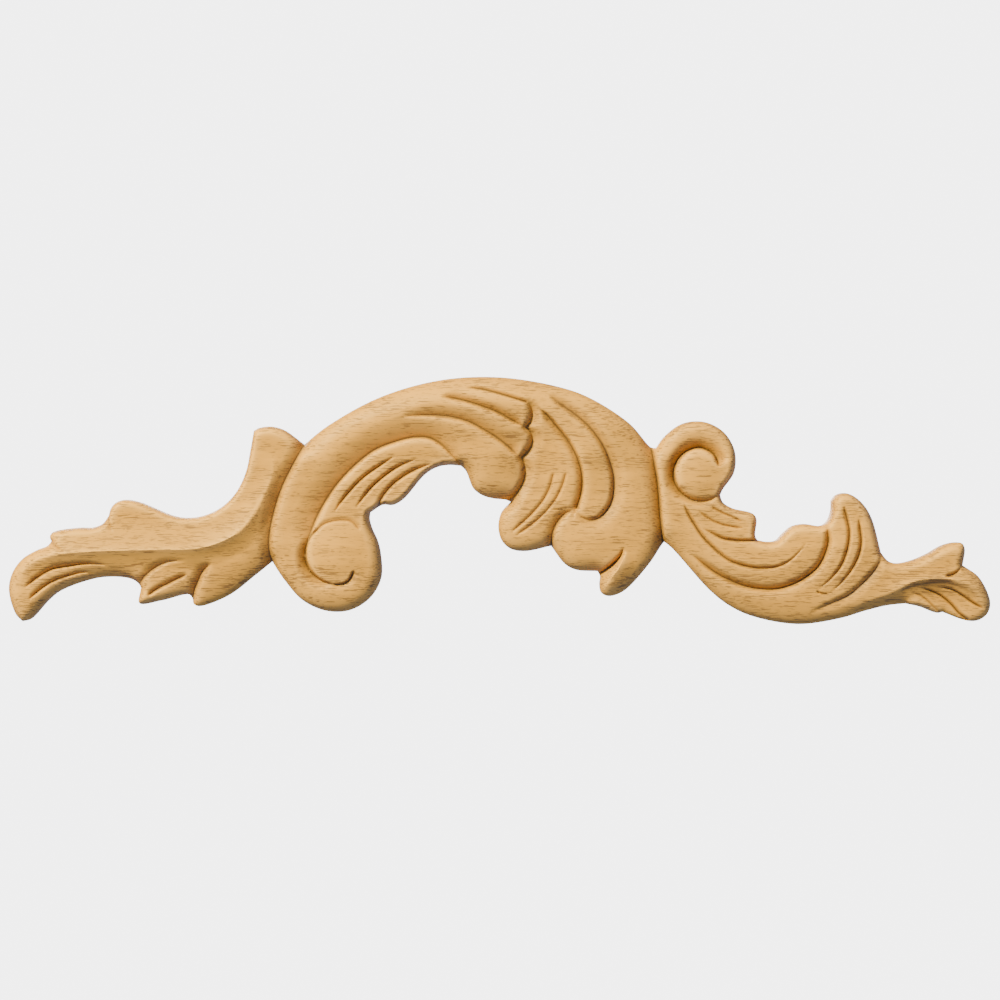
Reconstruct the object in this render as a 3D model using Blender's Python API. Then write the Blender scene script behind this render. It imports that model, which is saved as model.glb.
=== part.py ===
"""Carved acanthus scroll applique.

One board of wood, flat on its back and sawn out along a leafy outline, with the face carved in relief.
The back lies in the plane y = 0 and the face looks along -y. x runs to the right and z up.

Three members follow each other from left to right: the left leaf, the arch with its scroll and the right
leaf. The ornament is drawn on a pattern of squares, and a place on it is (across, down). Each member has a
length of its own, and every curve runs through its own few knots on the pattern, so the drawing is kept at
any size.
"""

import math
from collections import namedtuple

import bmesh
import bpy
import numpy as np
from mathutils import Vector
from mathutils.geometry import delaunay_2d_cdt

# Driving sizes in metres
LEFT_LENGTH = 0.1072        # left leaf, from its tip to the foot of the scroll
ARCH_LENGTH = 0.1600        # arch, from the foot of the scroll to the notch by the right leaf
RIGHT_LENGTH = 0.1329       # right leaf, from that notch to its tip
HEIGHT = 0.1008             # from the lowest lobe to the top of the crown
EDGE_THICKNESS = 0.0068     # upright edge all round, measured from the back
FACE_THICKNESS = 0.0120     # general level of the face over the back
FLOOR_THICKNESS = 0.0030    # least wood left behind a cut
CROWN_RISE = 0.0040         # how far the crown of the arch stands over the general level
CREST_RISE = 0.0036         # sharp crest between the two faces of a leaf
LOW_CREST_RISE = 0.0019     # the same on the hook and the right tip
SEAM_DEPTH = 0.0044         # where the arch passes over its neighbours
STEP_DEPTH = 0.0030         # where one lobe lies over the next
CURL_DEPTH = 0.0050         # channel round the eye of a scroll
RIB_DEPTH = 0.0037          # hollow under the rib of the arch
LOBE_DEPTH = 0.0028         # cuts that part the lobes of a leaf
VEIN_DEPTH = 0.0016         # plain veins and flutes
NICK_DEPTH = 0.0009         # smallest cuts

# Places on the pattern: left tip, foot of the scroll, notch by the right leaf, right tip
STATIONS = (10.2, 272.5, 664.0, 989.3)
MIDDLE = 500.0
TOP = 377.1
BOTTOM = 623.8
MIDDLE_HEIGHT = 440.0

# Spacing of the facets, in squares
OUTLINE_SPACING = 5.5
CUT_SPACING = 5.0
FILL_SPACING = 10.0

# Shape of the cuts and of the rounded edge
SHOULDER = 0.35             # share of a cut's depth that lies in its wide soft shoulders
SHOULDER_REACH = 2.4        # how much wider the shoulders are than the cut
EDGE_POWER = 0.6            # 0.5 is a quarter of an ellipse, higher is softer

WOOD_COLOUR = (0.62, 0.39, 0.18, 1.0)

SIZES = {
    "crest": CREST_RISE,
    "low crest": LOW_CREST_RISE,
    "seam": SEAM_DEPTH,
    "step": STEP_DEPTH,
    "curl": CURL_DEPTH,
    "rib": RIB_DEPTH,
    "lobe": LOBE_DEPTH,
    "vein": VEIN_DEPTH,
    "nick": NICK_DEPTH,
}
CRESTS = ("crest", "low crest")
ROUNDED = ("seam", "step", "curl", "rib", "lobe")

# One stretch of the outline, up to its next corner. Its edge is rounded over as far in as edge_rounds say,
# from the first at its start to the second at its end.
Stretch = namedtuple("Stretch", "edge_rounds knots")

# One cut or crest. Its profile falls off sideways from the line by (1 - distance / width) ** power, on the
# left and the right of the line by separate widths and powers. It fades in and out over shares of the line.
Line = namedtuple("Line", "kind widths powers fades knots")

# A rounded swelling or hollow of the face, as a share of the rise of the crown
Swell = namedtuple("Swell", "centre half_sizes turn share")


def curl(centre, radii, angles):
    """Knots on a spiral about a centre, in squares and in degrees anticlockwise from the right."""
    count = max(3, round(abs(angles[1] - angles[0]) / 30) + 1)
    knots = []
    for step in range(count):
        share = step / (count - 1)
        radius = radii[0] + (radii[1] - radii[0]) * share
        angle = math.radians(angles[0] + (angles[1] - angles[0]) * share)
        knots.append((centre[0] + radius * math.cos(angle), centre[1] - radius * math.sin(angle)))
    return knots


# Left leaf

LEFT_UPPER = [
    Stretch((14, 14), [(24, 621), (17, 613.5), (10.2, 589), (14, 572), (24, 558.5), (38, 550), (49, 545.5),
                 (52.5, 541)]),
    Stretch((6, 6), [(52.5, 541), (51.2, 536.5), (54.5, 532), (79, 527.6), (94, 527.3), (104, 523.5),
                (109.5, 516)]),
    Stretch((5, 5), [(109.5, 516), (112.5, 507.5), (118, 502), (127, 499.7), (140, 502), (175, 516),
                (192, 517.6), (209, 514), (225, 505), (238, 490.5), (247, 470.5), (250.8, 452),
                (254.5, 431)]),
    Stretch((7, 7), [(254.5, 431), (260, 428), (272, 426.7), (284, 429.8), (304.5, 444.6)]),
]

LEFT_LOWER = [
    Stretch((36, 36), [(272.5, 561.3), (256, 574.6), (228, 595.8), (200, 605.9), (194.6, 603.5),
                 (193.3, 598.2)]),
    Stretch((12, 12), [(193.3, 598.2), (190, 594.3), (163, 600.2), (140.5, 602.9), (142, 587.5)]),
    Stretch((14, 14), [(142, 587.5), (139, 582.8), (131, 578.3), (102, 577.3), (62, 590), (50, 599),
                (31, 619), (24, 621)]),
]

LEFT_LINES = [
    Line("crest", (34, 20), (1.8, 1.5), (0.25, 0.4),
         [(20, 576), (40, 559), (60, 554), (100, 551), (150, 549.5), (200, 548), (223, 541.5),
          (242, 530.5), (255.5, 514.5), (265, 496.5), (273, 476), (276, 455.5)]),
    Line("vein", (6, 2), (1.8, 1.6), (0.15, 0.5),
         [(27, 587.5), (41, 576.5), (54.5, 569), (70, 566), (90, 563.5), (112, 565)]),
    Line("vein", (6, 2), (1.8, 1.6), (0.15, 0.5),
         [(31, 599.5), (41, 590.5), (54.5, 581.5), (70.5, 575.5), (86, 572), (98, 572)]),
    Line("nick", (4, 6), (2, 2), (0, 0.6), [(48, 539), (57, 545), (68, 553)]),
    Line("nick", (3, 8), (2, 2), (0, 0.6), [(109.5, 514), (111.5, 524), (115.5, 531.5)]),
    Line("vein", (9, 4.5), (1.8, 1.7), (0.3, 0.7),
         [(139, 592), (141.5, 583), (147, 575.5), (156, 568), (166, 563), (176, 561), (188, 560.5)]),
    Line("vein", (6, 3), (1.5, 1.6), (0.1, 0.2),
         [(149, 595.5), (160, 588), (170, 583), (180, 578), (190, 573.5)]),
    Line("lobe", (10, 6), (1.6, 1.5), (0.45, 0.35),
         [(192.5, 604), (194, 598), (196, 588.5), (199.5, 580.5), (203.5, 572), (209.5, 565.5),
          (213.5, 562.5)]),
    Line("lobe", (7, 12), (1.8, 1.5), (0, 0),
         [(307, 441), (292, 468.5), (284.5, 483.5), (277.5, 502.5), (271, 530), (270, 548), (273, 563)]),
]

# Arch with its scroll, crown, palm and ball

ARCH_UPPER = [
    Stretch((26, 26), [(304.5, 444.6), (329, 425.5), (380, 397.6), (440, 380.5), (500, 377.6), (560, 387.4),
                 (590, 398.3), (629, 423.5), (650.5, 447), (655.5, 448.3)]),
]

ARCH_LOWER = [
    Stretch((18, 18), [(664, 541.5), (659, 548.5), (648.5, 564), (623, 591), (608, 595.8), (601, 592.3),
                 (599.3, 584), (600, 576), (597.5, 571)]),
    Stretch((18, 18), [(597.5, 571), (576, 569.6), (565, 564), (551, 545.8)]),
    Stretch((16, 16), [(551, 545.8), (525, 551), (511, 548.8), (502, 540.8), (498.3, 527), (501.3, 512.5),
                 (510.5, 501.8)]),
    Stretch((18, 18), [(510.5, 501.8), (506, 499.9), (494, 498.6), (483, 495.6), (473.5, 488.5), (466, 471),
                 (461, 465.8)]),
    Stretch((5, 5), [(461, 465.8), (449, 465), (437.5, 467), (425.5, 474), (403.5, 499), (393, 505),
                (383, 504.8), (370.3, 512.5)]),
    Stretch((8, 24), [(370.3, 512.5), (369.8, 519), (372.6, 529), (377.8, 540.5)]
            + curl((338, 566), (44.5, 46), (15, -105)) + [(303, 599.8), (286, 581), (272.5, 561.3)]),
]

ARCH_LINES = [
    Line("nick", (1.5, 5), (1.6, 1.4), (0.1, 0.1),
         [(361, 530), (352, 521.5)] + curl((337.5, 552), (31.5, 29.5), (90, 140))),
    Line("vein", (2, 3), (1.6, 1.5), (0.35, 0.35), curl((337.5, 552), (29.5, 32), (115, 215))),
    Line("curl", (3.5, 12), (1.4, 1.4), (0.7, 0.45),
         curl((337.5, 552), (29.5, 32), (125, 195)) + curl((337.5, 552), (32.5, 32), (220, 268))),
    Line("vein", (2, 7), (1.5, 1.5), (0.9, 0.1),
         curl((337.5, 552), (32.5, 32), (225, 275)) + [(349, 580.5), (355, 569.5)]),
    Line("rib", (24, 3), (1.6, 1.6), (0.2, 0.2),
         [(306.5, 556), (307.5, 545), (311, 533.5), (318, 516), (328.5, 497.5), (340.5, 481), (357, 464),
          (375.5, 450), (395.5, 442),
          (415, 437.5), (430.5, 438.5), (443.5, 446), (455, 458), (464, 468)]),
    Line("vein", (4, 2.5), (1.4, 1.6), (0.3, 0.35),
         [(335, 513), (340, 505), (352, 490), (365, 477), (380.5, 466), (397.5, 455)]),
    Line("vein", (4, 2.5), (1.4, 1.6), (0.3, 0.35),
         [(356.5, 508.5), (363.5, 498.5), (373, 487), (385.5, 476), (400.5, 466), (418.5, 459)]),
    Line("vein", (5, 3), (1.5, 1.8), (0, 0.35),
         [(377.5, 510), (382.5, 498), (391.5, 486.5), (401, 478.5), (415.5, 470), (435, 463)]),
    Line("lobe", (13, 4.5), (1.6, 1.8), (0.3, 0.1),
         [(398, 418.5), (415, 416), (440, 416), (455, 418), (470, 422.5), (485, 430.5),
          (500.5, 440.5), (512.5, 450.5), (520, 457.5)]),
    Line("lobe", (9, 4), (1.6, 1.9), (0.2, 0.15),
         [(441, 397), (455, 399), (469.5, 402.5), (484.5, 407.5), (499.5, 413.5), (512.5, 421),
          (525, 427)]),
    Line("vein", (4.5, 2.5), (1.5, 1.7), (0.25, 0),
         [(466, 388), (480, 389.5), (495, 393), (510, 397.5), (526, 402.5)]),
    Line("step", (11, 7), (1.5, 1.9), (0.12, 0),
         [(523, 401.8), (528, 403.8), (531.5, 408.5), (532.5, 415), (530.5, 422), (526, 427.5),
          (526, 427.5), (531.5, 434), (532.5, 441.5), (528.5, 450.5), (521.5, 457.5),
          (521.5, 457.5), (525, 466.5), (524.5, 477.5), (520, 488), (511, 499), (505, 504)]),
    Line("nick", (2.5, 4), (1.6, 1.5), (0.05, 0.15),
         [(553.5, 473), (549.5, 488), (542.5, 501), (532.5, 513), (522, 523), (511, 532.5)]),
    Line("nick", (2.5, 4), (1.6, 1.5), (0.05, 0.15),
         [(566, 472.5), (562, 486), (555, 500), (545.5, 512), (533, 523.5), (515, 536)]),
    Line("lobe", (3.5, 9), (2, 1.7), (0.2, 0),
         [(535, 406), (546.5, 415.5), (556.5, 427), (567, 440), (575, 454), (580.5, 469.5), (582, 483),
          (580.5, 495), (576.5, 508)]),
    Line("nick", (2, 2), (2, 2), (0.3, 0.3), [(553.5, 424), (562, 436), (570, 450), (575, 462)]),
    Line("nick", (1.5, 1.5), (2, 2), (0.3, 0.5), [(550, 509.5), (561, 509), (575, 504.5)]),
    Line("lobe", (13, 6), (1.8, 1.8), (0.12, 0.25),
         [(548.5, 395), (560, 404.5), (575, 415), (590, 428.5), (602, 445), (609, 460), (613, 475),
          (613.5, 488), (611, 502), (605, 512), (597, 518.5), (588, 520), (580, 516), (575.5, 509)]),
    Line("lobe", (4, 10), (2, 1.6), (0.35, 0), [(576, 509), (566, 513), (558, 521), (553, 531),
                                                (551, 547)]),
    Line("lobe", (7, 3.5), (1.6, 1.6), (0.5, 0.15), [(623, 546.5), (619.5, 556), (613, 563), (598, 574.5)]),
    Line("low crest", (14, 7), (1.6, 1.6), (0.3, 0.2), [(626, 551), (618, 568), (609, 580), (603, 590)]),
]

ARCH_SWELLS = [
    Swell((338, 552), (36, 36), 0, 0.65),
    Swell((330, 470), (70, 24), -45, 0.5),
    Swell((470, 415), (110, 45), 0, 1.0),
    Swell((590, 450), (60, 26), 55, 0.5),
    Swell((545, 470), (26, 50), 15, -0.45),
    Swell((592, 541), (34, 27), 0, 0.45),
    Swell((492, 466), (26, 26), 0, 0.5),
]

# Right leaf with its scroll and twisted tip

RIGHT_UPPER = [
    Stretch((14, 6), [(655.5, 448.3)] + curl((696.5, 461.3), (40.7, 38.2), (142, -48)) + [(719.6, 495)]),
    Stretch((7, 7), [(719.6, 495), (722, 501.8), (731, 507.8), (752, 513.5), (755.8, 519), (754.6, 536),
                (757, 540)]),
    Stretch((7, 7), [(757, 540), (766, 541.6), (775, 540.6), (782, 533.5), (791, 526.4), (803, 523.9),
                (820.5, 525.6), (827, 520.5), (830.5, 511), (831, 500.5)]),
    Stretch((7, 10), [(831, 500.5), (835, 495.5), (843, 493), (852, 495.6), (863, 505), (871, 519),
                (880, 552.5)]),
    Stretch((9, 9), [(880, 552.5), (887.5, 561), (897, 563.2), (911, 560.3), (926, 554), (940, 546),
                (951, 542.7), (960.5, 543), (963.6, 548.5), (961.5, 565)]),
]

RIGHT_LOWER = [
    Stretch((13, 13), [(961.5, 565), (978, 577.3), (989, 601.5), (986.3, 613), (978, 619.5), (967, 620.5),
                (941.5, 611.6)]),
    Stretch((6, 6), [(941.5, 611.6), (936, 612.6), (920, 606.8), (904, 603.2)]),
    Stretch((26, 26), [(904, 603.2), (886, 605.2), (865, 610.3), (840, 617.8), (797, 623.8), (752, 616),
                 (730, 606), (710, 590.3), (672, 548), (664, 541.5)]),
]

RIGHT_LINES = [
    Line("seam", (4, 17), (2, 2.1), (0, 0),
         [(651, 446), (653.5, 463), (656.5, 480), (658.5, 500), (660, 520), (663, 544)]),
    Line("curl", (2.5, 12), (1.6, 1.7), (0.08, 0.3),
         [(718.5, 467), (713.5, 455)] + curl((699.5, 474), (26, 27), (90, 262))),
    Line("lobe", (7, 6), (1.6, 1.5), (0.15, 0.6),
         curl((699.5, 474), (27, 28), (205, 318))),
    Line("vein", (4, 3), (1.5, 1.8), (0.1, 0.45),
         [(682, 502), (687, 513), (694, 525), (703, 538), (715, 550), (728, 560), (745, 566),
          (760, 568), (777, 566), (789.5, 559.5), (798.5, 550.5), (806, 540)]),
    Line("lobe", (7, 4.5), (1.6, 1.7), (0.15, 0.1),
         [(691, 554), (702, 563), (715, 572.5), (730, 580.5), (745, 586), (760, 588.5), (775, 588.5),
          (790, 584.5), (805, 576.5), (817, 566), (824, 552.5), (827, 540.5), (825, 524)]),
    Line("nick", (2.5, 2), (1.6, 1.6), (0.1, 0.2), [(709.5, 506.5), (719.5, 512), (731.5, 517),
                                                    (741.5, 522)]),
    Line("nick", (2.5, 2), (1.6, 1.6), (0.2, 0.2),
         [(697, 510), (706, 517.5), (718, 523.5), (730, 526.5), (743, 528)]),
    Line("vein", (4, 2.5), (1.5, 1.6), (0.45, 0),
         [(701, 528), (711, 533), (722, 538.5), (735, 540.5), (756, 540.5)]),
    Line("vein", (2.5, 4.5), (1.6, 1.5), (0.1, 0.55),
         [(842, 506), (845, 517.5), (847.5, 530), (847, 542), (844, 554.5), (838.5, 567), (828.5, 579),
          (815, 590.5)]),
    Line("vein", (2.5, 4.5), (1.6, 1.5), (0.15, 0.6),
         [(856.5, 518), (858.5, 530), (859.5, 541), (858, 551.5), (853.5, 563), (846.5, 574), (837, 585),
          (827.5, 592.5)]),
    Line("nick", (1.5, 1.5), (2, 2), (0.2, 0.6), [(814, 591), (822, 593), (831, 592.5)]),
    Line("vein", (9, 6), (1.6, 1.5), (0.25, 0.45),
         [(879, 551), (878, 561), (871, 572.5), (860.5, 583.5), (847.5, 594.5), (830.5, 602.5),
          (807.5, 612)]),
    Line("low crest", (18, 15), (2, 1.3), (0.45, 0.25),
         [(846, 609), (864.5, 600.5), (879.5, 595.5), (890, 591), (900, 585.5), (912, 581), (926, 578.5),
          (940, 578), (953, 579.5), (965, 583.5), (974, 589), (979.5, 596), (982, 604)]),
    Line("nick", (4, 22), (1.4, 1.1), (0.35, 0.55),
         [(896, 592.5), (905, 587), (915, 584), (925, 582), (942, 582), (957, 586), (968, 592),
          (975, 600)]),
    Line("vein", (3, 2.5), (1.6, 1.6), (0.2, 0),
         [(918, 587), (930.5, 591), (941, 596.5), (951, 605), (958, 613), (966, 619)]),
    Line("vein", (3, 2.5), (1.6, 1.6), (0.2, 0.2),
         [(936, 586), (950.5, 589.5), (961, 595.5), (972, 603), (982, 608.5)]),
    Line("nick", (3, 2.5), (1.6, 1.6), (0.2, 0),
         [(908, 592), (917, 594.5), (924, 598.5), (931, 605), (938, 611.5)]),
    Line("vein", (3, 4), (1.8, 1.5), (0.5, 0.3), [(959, 567), (954.5, 572), (949, 575), (942, 576)]),
]

RIGHT_SWELLS = [
    Swell((699.5, 473), (29, 29), 0, 0.65),
    Swell((770, 560), (120, 26), 10, 0.2),
    Swell((850, 540), (26, 45), 0, 0.33),
    Swell((947, 602), (36, 18), -28, -0.85),
]

# The whole outline runs clockwise from the left tip
OUTLINE = LEFT_UPPER + ARCH_UPPER + RIGHT_UPPER + RIGHT_LOWER + ARCH_LOWER + LEFT_LOWER
LINES = LEFT_LINES + ARCH_LINES + RIGHT_LINES
SWELLS = ARCH_SWELLS + RIGHT_SWELLS


def smooth_run(knots, spacing):
    """Points about one spacing apart on a smooth curve through knots without corners, both ends included."""
    padded = np.vstack([2 * knots[0] - knots[1], knots, 2 * knots[-1] - knots[-2]])
    pieces = []
    for index in range(len(knots) - 1):
        four = padded[index:index + 4]
        steps = np.sqrt(np.hypot(*np.diff(four, axis=0).T))
        times = np.concatenate([[0.0], np.cumsum(steps)])
        count = max(2, round(math.hypot(*(four[2] - four[1])) / spacing))
        at = np.linspace(times[1], times[2], count, endpoint=False)[:, None]
        level = [np.repeat(point[None], count, axis=0) for point in four]
        for reach in (1, 2, 3):
            merged = []
            for left in range(len(level) - 1):
                start = times[left] if reach < 3 else times[1]
                end = times[left + reach] if reach < 3 else times[2]
                share = (at - start) / (end - start)
                merged.append(level[left] * (1 - share) + level[left + 1] * share)
            level = merged
        pieces.append(level[0])
    pieces.append(knots[-1:])
    return np.vstack(pieces)


def spline(knots, spacing):
    """The same for knots of which one given twice is a corner."""
    places = np.array(knots, float)
    bounds = [0]
    for index in range(1, len(places)):
        if np.array_equal(places[index], places[index - 1]):
            bounds.append(index)
    bounds.append(len(places))
    curve = places[:1]
    for start, end in zip(bounds, bounds[1:]):
        curve = np.vstack([curve, smooth_run(places[start:end], spacing)[1:]])
    return curve


def outline_points(spacing):
    """The closed outline, with the edge rounding that belongs to each of its sides."""
    points, rounds = [], []
    for stretch in OUTLINE:
        curve = spline(stretch.knots, spacing)[:-1]
        points.append(curve)
        rounds.append(np.linspace(*stretch.edge_rounds, len(curve)))
    return np.vstack(points), np.concatenate(rounds)


def inside(points, ring):
    """Whether each point lies within the closed outline."""
    found = np.zeros(len(points), bool)
    for (x0, y0), (x1, y1) in zip(ring, np.roll(ring, -1, axis=0)):
        if y0 == y1:
            continue
        crossed = (y0 > points[:, 1]) != (y1 > points[:, 1])
        found ^= crossed & (points[:, 0] < (x1 - x0) * (points[:, 1] - y0) / (y1 - y0) + x0)
    return found


def nearest(points, path):
    """Distance to an open path, the side of it (1 right, -1 left), and the share of its length there."""
    start, run = path[:-1], np.diff(path, axis=0)
    lengths = np.hypot(*run.T)
    before = np.concatenate([[0.0], np.cumsum(lengths)])
    offset = points[:, None, :] - start[None]
    share = np.clip((offset * run).sum(2) / lengths ** 2, 0, 1)
    gap = np.linalg.norm(offset - share[:, :, None] * run, axis=2)
    pick = gap.argmin(1)
    row = np.arange(len(points))
    turn = run[pick, 0] * offset[row, pick, 1] - run[pick, 1] * offset[row, pick, 0]
    along = (before[pick] + share[row, pick] * lengths[pick]) / before[-1]
    return gap[row, pick], np.where(turn >= 0, 1, -1), along


def edge_share(points, ring, rounds):
    """How far in from the edge a point is, as a share of the edge rounding there, with no crease midway.

    The inverse fourth power of the distance is summed along every side, which gives the true distance by a
    straight edge and blends the distances where two edges are near.
    """
    total = np.zeros(len(points))
    for start, end, width in zip(ring, np.roll(ring, -1, axis=0), rounds):
        run = end - start
        length = math.hypot(*run)
        offset = points - start
        near = offset @ run / length
        far = near - length
        away = np.maximum(np.abs(offset[:, 0] * run[1] - offset[:, 1] * run[0]) / length, 0.02)
        square = away ** 2
        for reach, sign in ((near, 1), (far, -1)):
            part = reach / (2 * square * (reach ** 2 + square)) + np.arctan(reach / away) / (2 * away ** 3)
            total += sign * width ** 3 * part
    return (math.pi / 2 / np.maximum(total, 1e-12)) ** (1 / 3)


def profile(points, line):
    """Size of one cut or crest at each point, in metres and never below 0."""
    path = spline(line.knots, 3)
    reach = max(line.widths) * SHOULDER_REACH
    sizes = np.zeros(len(points))
    close = ((points > path.min(0) - reach) & (points < path.max(0) + reach)).all(1)
    if not close.any():
        return sizes
    gap, side, along = nearest(points[close], path)
    fade = np.ones(len(gap))
    for length, left in ((line.fades[0], along), (line.fades[1], 1 - along)):
        if length > 0:
            fade *= np.clip(left / length, 0, 1)
    strength = np.sin(fade * math.pi / 2)
    width = np.where(side > 0, line.widths[1], line.widths[0]) * (0.35 + 0.65 * strength)
    power = np.where(side > 0, line.powers[1], line.powers[0])
    wall = np.clip(1 - gap / width, 0, 1) ** power
    if line.kind in ROUNDED:
        shoulder = np.clip(1 - gap / (width * SHOULDER_REACH), 0, 1) ** 2
        wall = wall * (1 - SHOULDER) + shoulder * SHOULDER
    sizes[close] = SIZES[line.kind] * strength * wall
    return sizes


def face_height(points):
    """Height of the carved face over the back at each place on the pattern, in metres."""
    ring, rounds = outline_points(3)
    level = np.full(len(points), FACE_THICKNESS)
    for swell in SWELLS:
        turn = math.radians(swell.turn)
        across, up = points[:, 0] - swell.centre[0], swell.centre[1] - points[:, 1]
        first = (across * math.cos(turn) + up * math.sin(turn)) / swell.half_sizes[0]
        second = (up * math.cos(turn) - across * math.sin(turn)) / swell.half_sizes[1]
        level += CROWN_RISE * swell.share * np.exp(-1.2 * (first ** 2 + second ** 2))
    depth = np.zeros(len(points))
    for line in LINES:
        if line.kind in CRESTS:
            level += profile(points, line)
        else:
            depth += profile(points, line) ** 2.5
    share = np.clip(edge_share(points, ring, rounds), 0, 1)
    height = EDGE_THICKNESS + (level - EDGE_THICKNESS) * (1 - (1 - share) ** 2) ** EDGE_POWER
    return np.maximum(height - depth ** 0.4, FLOOR_THICKNESS)


def beside(path, distance):
    """A row of points beside a path, to its right for a positive distance."""
    run = np.gradient(path, axis=0)
    run /= np.maximum(np.linalg.norm(run, axis=1, keepdims=True), 1e-9)
    return path + distance * np.stack([-run[:, 1], run[:, 0]], axis=1)


def spaced_points(ring):
    """Corners of the facets: along the cuts, beside them, along the edge, then over the rest."""
    groups = []
    for line in LINES:
        groups.append((spline(line.knots, CUT_SPACING), 2.6))
    for line in LINES:
        path = spline(line.knots, CUT_SPACING)
        left, right = line.widths
        for width, way in ((left, -1), (right, 1)):
            groups.append((beside(path, way * width * (0.9 if width < 8 else 0.4)), 3.0))
    for distance, gap in ((1.8, 2.4), (5.0, 3.4), (10.0, 5.5)):
        groups.append((beside(np.vstack([ring, ring[:1]]), distance), gap))
    rows = []
    pitch = FILL_SPACING * math.sqrt(3) / 2
    low, high = ring.min(0), ring.max(0)
    for row in range(int((high[1] - low[1]) / pitch) + 1):
        across = np.arange(low[0] + FILL_SPACING / 2 * (row % 2), high[0], FILL_SPACING)
        rows.append(np.stack([across, np.full(len(across), low[1] + row * pitch)], axis=1))
    groups.append((np.vstack(rows), 0.72 * FILL_SPACING))
    closed = np.vstack([ring, ring[:1]])
    placed = np.zeros((0, 2))
    for points, gap in groups:
        points = points[inside(points, ring)]
        if len(points):
            points = points[nearest(points, closed)[0] > min(gap / 2, 2.4)]
        for point in points:
            if len(placed) and np.hypot(*(placed - point).T).min() < gap:
                continue
            placed = np.vstack([placed, point])
    return placed


def to_part(point, height):
    """From the pattern to the part, in metres. The middle of the arch lies at x = 0."""
    ends = np.cumsum([0.0, LEFT_LENGTH, ARCH_LENGTH, RIGHT_LENGTH])
    across = np.interp(point[0], STATIONS, ends) - np.interp(MIDDLE, STATIONS, ends)
    return (across, -height, (MIDDLE_HEIGHT - point[1]) * HEIGHT / (BOTTOM - TOP))


def filled(corners, edge_count):
    """Triangles over the inside of the outline, whose corners come first."""
    found = delaunay_2d_cdt([Vector(corner) for corner in corners], [], [list(range(edge_count))], 1, 1e-6)
    points, triangles, sources = found[0], found[2], found[3]
    back_to_given = [source[0] for source in sources]
    if len(points) != len(corners):
        raise ValueError("the outline crosses itself")
    return [[back_to_given[index] for index in triangle] for triangle in triangles]


def build():
    """The whole ornament as one closed solid."""
    ring = outline_points(OUTLINE_SPACING)[0]
    count = len(ring)
    corners = np.vstack([ring, spaced_points(ring)])
    heights = face_height(corners)
    mesh = bmesh.new()
    front = [mesh.verts.new(to_part(corner, height)) for corner, height in zip(corners, heights)]
    back = [mesh.verts.new(to_part(corner, 0.0)) for corner in ring]
    for triangle in filled(corners, count):
        mesh.faces.new([front[index] for index in triangle])
    for triangle in filled(ring, count):
        mesh.faces.new([back[index] for index in reversed(triangle)])
    for index in range(count):
        following = (index + 1) % count
        mesh.faces.new((front[index], front[following], back[following]))
        mesh.faces.new((front[index], back[following], back[index]))
    bmesh.ops.recalc_face_normals(mesh, faces=mesh.faces)
    data = bpy.data.meshes.new("acanthus_applique")
    mesh.to_mesh(data)
    mesh.free()
    part = bpy.data.objects.new("acanthus_applique", data)
    bpy.context.scene.collection.objects.link(part)
    return part


def carved_wood():
    """Plain sanded wood."""
    material = bpy.data.materials.new("carved_wood")
    material.use_nodes = True
    shader = material.node_tree.nodes["Principled BSDF"]
    shader.inputs["Base Color"].default_value = WOOD_COLOUR
    shader.inputs["Roughness"].default_value = 0.6
    return material


for thing in list(bpy.data.objects):
    bpy.data.objects.remove(thing, do_unlink=True)
build().data.materials.append(carved_wood())
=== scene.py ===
"""Carved acanthus scroll applique: the finished look of the piece.

One board of pale hardwood, flat on its back and sawn out along a leafy outline, with its face carved in
relief. The ornament is drawn on a pattern of squares, and a place on it is (across, down). Each of the three
members has a length of its own, which its share of the pattern is laid out to.
"""

import logging
import math
from dataclasses import dataclass, field
from enum import Enum
from typing import Iterable, Sequence

import bpy
import numpy as np
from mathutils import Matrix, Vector
from mathutils.geometry import delaunay_2d_cdt
from mathutils.kdtree import KDTree


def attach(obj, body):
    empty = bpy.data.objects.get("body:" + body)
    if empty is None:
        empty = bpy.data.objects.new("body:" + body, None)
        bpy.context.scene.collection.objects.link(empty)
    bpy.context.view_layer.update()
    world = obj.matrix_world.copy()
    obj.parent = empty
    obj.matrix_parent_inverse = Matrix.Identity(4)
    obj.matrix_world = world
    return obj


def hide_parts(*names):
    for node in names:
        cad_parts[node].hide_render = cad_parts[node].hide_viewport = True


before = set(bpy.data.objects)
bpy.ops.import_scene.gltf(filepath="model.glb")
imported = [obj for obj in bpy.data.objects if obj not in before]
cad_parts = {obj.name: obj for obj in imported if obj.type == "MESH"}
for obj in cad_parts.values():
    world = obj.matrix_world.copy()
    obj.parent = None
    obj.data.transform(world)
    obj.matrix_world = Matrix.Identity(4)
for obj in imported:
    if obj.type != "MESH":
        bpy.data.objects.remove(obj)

LOG = logging.getLogger("applique")

Knot = tuple[float, float]
Knots = Sequence[Knot]
Colour = tuple[float, float, float, float]

BATCH = 3000  # places measured against a path at a time


class Mark(Enum):
    """The kinds of mark that the carver leaves on the face."""

    CREST = "crest"
    LOW_CREST = "low crest"
    SEAM = "seam"
    STEP = "step"
    CURL = "curl"
    RIB = "rib"
    LOBE = "lobe"
    VEIN = "vein"
    NICK = "nick"


@dataclass(frozen=True)
class Stretch:
    """One stretch of the outline, up to its next corner.

    edge_rounds is how far in the edge is rounded over, in squares, at the start and at the end.
    """

    edge_rounds: tuple[float, float]
    knots: Knots


@dataclass(frozen=True)
class Stroke:
    """One cut or crest, as the carver's tool goes along it.

    Its profile falls off to the left and to the right of its line by (1 - distance / width) ** power. The
    fades are the shares of its length over which it comes in and goes out.
    """

    mark: Mark
    widths: tuple[float, float]
    powers: tuple[float, float]
    fades: tuple[float, float]
    knots: Knots


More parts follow.
